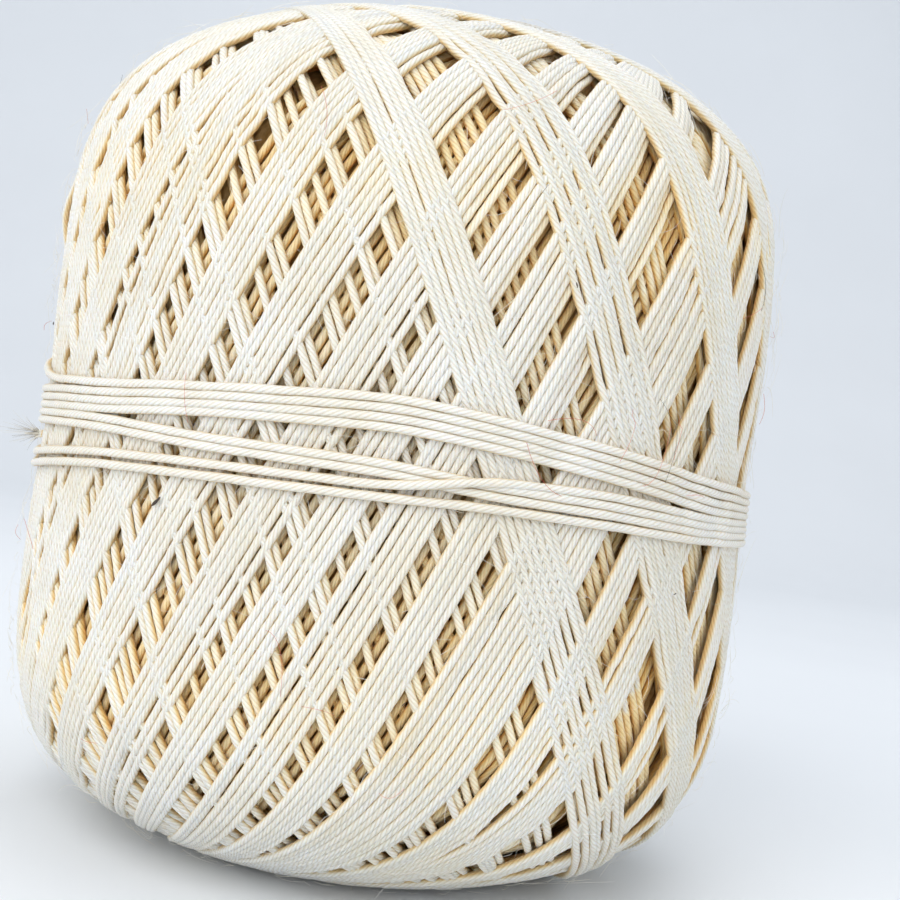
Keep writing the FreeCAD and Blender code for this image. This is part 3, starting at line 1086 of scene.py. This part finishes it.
# Stray fibres that have settled on the thread: place round the ball and above the waist in
# degrees, length, heading in degrees, and whether dark or reddish.
STRAY_SPOTS = (
    (-86.0, 43.0, 5.0, 60.0, 0.1), (-80.0, 49.0, 4.0, 150.0, 0.2), (36.0, 11.0, 7.0, -50.0, 0.1),
    (30.0, 2.0, 5.0, 70.0, 0.8), (34.0, -0.5, 4.0, 20.0, 0.9), (40.0, 3.5, 3.5, 110.0, 0.75),
    (26.0, 5.0, 4.5, 140.0, 0.7), (22.0, -3.0, 5.0, 160.0, 0.65), (44.0, -1.0, 3.0, 10.0, 0.9),
    (-14.0, 33.0, 4.0, 80.0, 0.7), (8.0, 38.0, 5.0, 20.0, 0.8), (-60.0, -20.0, 4.0, 120.0, 0.75),
    (60.0, 25.0, 5.0, 95.0, 0.15), (12.0, 27.0, 4.0, 75.0, 0.2), (140.0, 10.0, 5.0, 30.0, 0.1),
    (-150.0, 30.0, 4.5, 100.0, 0.8), (165.0, -25.0, 5.0, 60.0, 0.75), (100.0, -5.0, 4.0, 140.0, 0.15),
)


STRAY_MORE = 26
STRAY_MARKS = 9


def stray_fibres():
    """Dark and reddish hairs at the listed places, and a few more anywhere. Near the waist they
    are lifted onto the turns."""
    spots, more = np.array(STRAY_SPOTS), STRAY_MORE
    azimuth = np.concatenate([spots[:, 0], rng.uniform(-180, 180, more)])
    angle = np.concatenate([spots[:, 1], rng.uniform(-50, 50, more)])
    length = np.concatenate([spots[:, 2], rng.uniform(1.5, 4.5, more)])
    heading = np.radians(np.concatenate([spots[:, 3], rng.uniform(0, 360, more)]))
    tone = np.concatenate([spots[:, 4], rng.uniform(0.55, 1.0, more)])
    count = len(azimuth)
    paths = fibre_paths(
        azimuth, angle, length, rng.uniform(0.2, 0.6, count), rng.uniform(0, 0.8, count),
        heading, rng.normal(0, 0.6, count), STRAY_MARKS,
    )
    near_waist = np.abs(paths[..., 2]) < 5.5
    paths = paths + (0.55 * near_waist)[..., None] * unit(paths)
    points, faces, _ = strands(paths, np.full((count, STRAY_MARKS), 0.018), HAIR_SIDES)
    tone = np.repeat(tone, STRAY_MARKS * HAIR_SIDES)
    return make_piece("stray_fibres", points, faces, STRAY, {"tone": tone})


stands_for(stray_fibres(), "cotton_winding", "face_winding")


# Specks of seed coat: place round the ball and above the waist, half length, and heading.
SEED_SPOTS = (
    (-31.5, -10.5, 0.6, 48), (44.0, -14.0, 0.22, 20), (-70.0, 12.0, 0.2, 70),
    (20.0, 22.0, 0.25, 110), (130.0, -20.0, 0.3, 30), (-140.0, 15.0, 0.22, 60),
    (95.0, 30.0, 0.28, 140), (-110.0, -30.0, 0.24, 80), (170.0, 8.0, 0.3, 10),
    (5.0, -28.0, 0.2, 50),
)
SEED_RINGS, SEED_SIDES = 9, 8


def seed_flecks():
    """Specks of seed coat caught in the cotton: small closed bodies, sections of a stretched
    ball, x = a cos u, y = b sin u cos v, z = c sin u sin v, roughened by a few waves."""
    azimuth, angle, size, heading = np.array(SEED_SPOTS).T
    centre, out, level, up = face_frame(azimuth, angle, 0.05)
    u = np.linspace(0.08, np.pi - 0.08, SEED_RINGS)
    v = section_angles(SEED_SIDES)
    lumps = 1 + 0.18 * np.sin(3 * u[:, None] + 2 * v[None, :])
    x = np.cos(u)[:, None] * np.ones(SEED_SIDES)
    y = 0.24 * lumps * np.sin(u)[:, None] * np.cos(v)
    z = 0.26 * lumps * np.sin(u)[:, None] * np.sin(v)
    heading = np.radians(heading)
    ahead = np.cos(heading)[:, None] * level + np.sin(heading)[:, None] * up
    aside = np.cross(out, ahead)
    body = (
        x[None, ..., None] * ahead[:, None, None, :]
        + y[None, ..., None] * aside[:, None, None, :]
        + z[None, ..., None] * out[:, None, None, :]
    )
    points = centre[:, None, None, :] + size[:, None, None, None] * body
    unmoved = np.zeros(SEED_RINGS - 1, dtype=int)
    walls = ring_faces(SEED_RINGS, SEED_SIDES, False, 0, unmoved)[:, ::-1]
    caps = cap_faces(SEED_SIDES)
    one = np.concatenate([walls, caps, (SEED_RINGS - 1) * SEED_SIDES + caps[:, ::-1]])
    corners = SEED_RINGS * SEED_SIDES
    faces = (one[None] + (np.arange(len(size)) * corners)[:, None, None]).reshape(-1, 4)
    tone = np.tile(np.linspace(0.0, 0.4, corners), len(size))
    points = pressed_in(points.reshape(-1, 3))
    return make_piece("seed_flecks", points, faces, STRAY, {"tone": tone})


stands_for(seed_flecks(), "cotton_winding", "face_winding")

# ---------------------------------------------------------------- inside the ends

HOLLOW_ANGLE = 63.4         # just inside the cone that the loops keep clear of the axis
# Sizes of the copies of the outline on which the layers of arcs lie.
ARC_SHARES = (0.785, 0.80, 0.815, 0.83, 0.845, 0.86, 0.875, 0.89)
ARC_SPREAD = 17.0           # degrees along a loop, each way from its highest point
ARCS_ROUND = 44             # arcs in a layer
ARC_MARKS = 13              # places along an arc
ARC_TURN = 137.5            # degrees by which each layer is turned on from the last
ARC_RUN = 40                # by which each layer's thread has run on
ARC_DEPTH, ARC_DEEPER = 1.15, 0.09      # painted shade, given as a depth, of the outermost layer, and the depth added for each one under it


def end_arcs(name, side):
    """Tops of the loops that lie under the last passes, where they show in the hollow of an end:
    arcs of plane loops at the winding angle, on smaller copies of the outline, each layer
    turned on from the last."""
    share = np.repeat(ARC_SHARES, ARCS_ROUND)
    layer = np.repeat(np.arange(len(ARC_SHARES)), ARCS_ROUND)
    azimuth = np.tile(np.arange(ARCS_ROUND) * 360 / ARCS_ROUND, len(ARC_SHARES)) + ARC_TURN * layer
    azimuth = azimuth + rng.normal(0, 1.4, len(azimuth))
    tilt = np.radians(WINDING_ANGLE - np.abs(rng.normal(0, 0.5, len(azimuth))))
    turn = np.radians(90 + np.linspace(-ARC_SPREAD, ARC_SPREAD, ARC_MARKS))
    out, level = level_axes(np.radians(azimuth))
    climb = np.cos(tilt)[:, None] * level + np.sin(tilt)[:, None] * UP
    turn = turn[None, :, None]
    directions = np.cos(turn) * out[:, None, :] + np.sin(turn) * climb[:, None, :]
    angle = np.degrees(np.arcsin(directions[..., 2]))
    paths = directions * (reach(angle) * share[:, None])[..., None] * np.array([1.0, 1.0, side])
    radii = np.full(paths.shape[:2], THREAD_RADIUS)
    points, faces, run = strands(paths, radii, SIDES, PLY_LAY)
    places = strand_places(run + ARC_RUN * layer[:, None], section_angles(SIDES))
    depth = ARC_DEPTH + ARC_DEEPER * (len(ARC_SHARES) - layer)
    tone = rng.normal(0, 1, len(azimuth))
    each = ARC_MARKS * SIDES
    values = {"depth": np.repeat(depth, each), "tone": np.repeat(tone, each)}
    return make_piece(name, points, faces, FACE_COTTON, values, {"strand": places})


stands_for(end_arcs("top_end_arcs", 1.0), "cotton_winding", "inner_winding")
stands_for(end_arcs("bottom_end_arcs", -1.0), "cotton_winding", "base_winding")

START_TURNS = 12
START_MARKS = 96            # places along each turn
START_PITCH = 0.79
START_RADIUS = 0.375        # of the thread, pulled thin
START_DEPTH = 1.6           # for its painted shade


def start_turns():
    """The first turns on the core, close rings of thread side by side."""
    height = (np.arange(START_TURNS) - (START_TURNS - 1) / 2) * START_PITCH
    ring = (CORE_RADIUS + 0.41) * level_axes(np.linspace(0, 2 * np.pi, START_MARKS))[0]
    paths = ring[None] + height[:, None, None] * UP
    radii = np.full(paths.shape[:2], START_RADIUS)
    points, faces, run = strands(paths, radii, SIDES, PLY_LAY)
    places = strand_places(run, section_angles(SIDES))
    values = {"depth": np.full(len(places), START_DEPTH), "tone": np.zeros(len(places))}
    return make_piece("start_turns", points, faces, FACE_COTTON, values, {"strand": places})


stands_for(start_turns(), "cotton_winding", "start_wraps")

BED_ROUND = 360             # columns of the bed's mesh
BED_LINE_PITCH = 1.5        # between ridges of the bed, round the waist
BED_RIDGE = 0.35            # their height
BED_WALL = CORE_RADIUS + 1.3    # radius of the wall inside the bed


def winding_bed():
    """Closed body under both passes: the bed's outline carried round the axis, with the hollows
    and a wall round the core. Ridges stand on it as the threads below do: the size of a sine of
    azimuth minus height, or in every other strip of azimuth plus height."""
    inside = np.abs(FIELD_ANGLES) <= HOLLOW_ANGLE
    angle = np.radians(FIELD_ANGLES[inside][::2])
    far = bed[inside][::2] - BED_RIDGE
    seat = BED_WALL * math.tan(math.radians(HOLLOW_ANGLE))
    r = np.concatenate([far * np.cos(angle), [BED_WALL, BED_WALL]])
    z = np.concatenate([far * np.sin(angle), [seat, -seat]])
    turns = np.arange(BED_ROUND) * 2 * np.pi / BED_ROUND
    slope = math.tan(math.radians(WINDING_ANGLE))
    along = z[None, :] / slope
    round_it = turns[:, None] * BALL_RADIUS
    waves = round(2 * np.pi * BALL_RADIUS / BED_LINE_PITCH)
    pitch = 2 * np.pi * BALL_RADIUS / waves
    up = np.abs(np.sin(np.pi * (round_it - along) / pitch))
    down = np.abs(np.sin(np.pi * (round_it + along) / pitch))
    weave = np.sin(np.pi * (round_it - 0.3 * z[None, :]) / (5.3 * pitch)) > 0
    lines = np.where(weave, up, 0.7 * down)
    radius = r[None, :] + BED_RIDGE * lines * (np.arange(len(r)) < len(r) - 2)[None, :]
    points = np.stack([
        np.sin(turns)[:, None] * radius,
        -np.cos(turns)[:, None] * radius,
        np.broadcast_to(z, radius.shape),
    ], axis=-1)
    rows, columns = radius.shape
    here = np.arange(rows)[:, None] * columns
    onward = np.roll(here, -1, axis=0)
    k = np.arange(columns)[None, :]
    next_k = (k + 1) % columns
    faces = np.stack([here + k, onward + k, onward + next_k, here + next_k], axis=-1)
    points = pressed_in(points.reshape(-1, 3))
    values = {"lines": lines.ravel()}
    return make_piece("winding_bed", points, faces.reshape(-1, 4), BED_COTTON_PAINTED_SHADE, values)


stands_for(winding_bed(), "cotton_winding", "middle_winding")

for name, shade in KRAFT_SHADES.items():
    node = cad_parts[name]
    node.data.materials.clear()
    node.data.materials.append(kraft_paper(name.replace("core", "kraft"), shade))

# ---------------------------------------------------------------- stage, light and camera

def sweep():
    """Floor that curves up into a backdrop: a flat run, a quarter circle, and a wall."""
    bend, wall, before, behind = 400.0, 1500.0, 900.0, 500.0
    arc = np.radians(np.linspace(0, 90, 33))
    y = np.concatenate([[-before], behind + bend * np.sin(arc), [behind + bend]])
    z = np.concatenate([[0], bend - bend * np.cos(arc), [wall]])
    x = np.array([-2500.0, 2500.0])
    grid = np.broadcast_arrays(x[:, None], y[None, :], z[None, :] - MID_HEIGHT)
    points = np.stack(grid, axis=-1).reshape(-1, 3)
    k = np.arange(len(y) - 1)
    faces = np.stack([k, k + len(y), k + len(y) + 1, k + 1], axis=-1)
    return make_piece("floor", points, faces, studio_board("floor", (0.80, 0.825, 0.85)))


sweep()


def aim(direction, roll):
    """Euler angles that look along a direction with +Z up, then roll clockwise."""
    turn = Vector(direction).to_track_quat("-Z", "Y").to_matrix()
    return (turn @ Matrix.Rotation(roll, 3, "Z")).to_euler()


CENTRE = (0.0, 0.0, MID_HEIGHT * MM)


def area_light(name, place, size, power, colour):
    """Round lamp aimed at the middle of the ball."""
    light = bpy.data.lights.new(name, "AREA")
    light.shape = "DISK"
    light.size = size
    light.energy = power
    light.color = colour
    lamp = bpy.data.objects.new(name, light)
    bpy.context.scene.collection.objects.link(lamp)
    lamp.location = place
    lamp.rotation_euler = aim(np.array(CENTRE) - np.array(place), 0.0)


area_light("key", (-0.30, -0.52, 0.42), 0.8, 4.0, (1.0, 0.99, 0.985))
area_light("fill", (0.6, -0.35, 0.25), 0.7, 0.9, (0.95, 0.97, 1.0))
area_light("top", (0.1, 0.2, 0.8), 0.6, 1.4, (1.0, 1.0, 1.0))
world = bpy.data.worlds.new("studio")
world.use_nodes = True
sky = world.node_tree.nodes["Background"].inputs
sky["Color"].default_value = (0.90, 0.94, 1.0, 1)
sky["Strength"].default_value = 0.72
bpy.context.scene.world = world

CAMERA_DISTANCE = 0.1482
CAMERA_SHIFT = 0.0603       # share of the picture's width by which the ball stands off its middle
LENS = 53.4
ROLL = math.radians(7.5)
camera = bpy.data.objects.new("camera", bpy.data.cameras.new("camera"))
bpy.context.scene.collection.objects.link(camera)
camera.location = (0.0, -CAMERA_DISTANCE, MID_HEIGHT * MM)
camera.rotation_euler = aim((0, 1, 0), ROLL)
camera.data.lens = LENS
camera.data.sensor_width = 36.0
camera.data.shift_x = CAMERA_SHIFT
camera.data.clip_start = 0.01
bpy.context.scene.camera = camera
bpy.context.scene.view_settings.view_transform = "Standard"
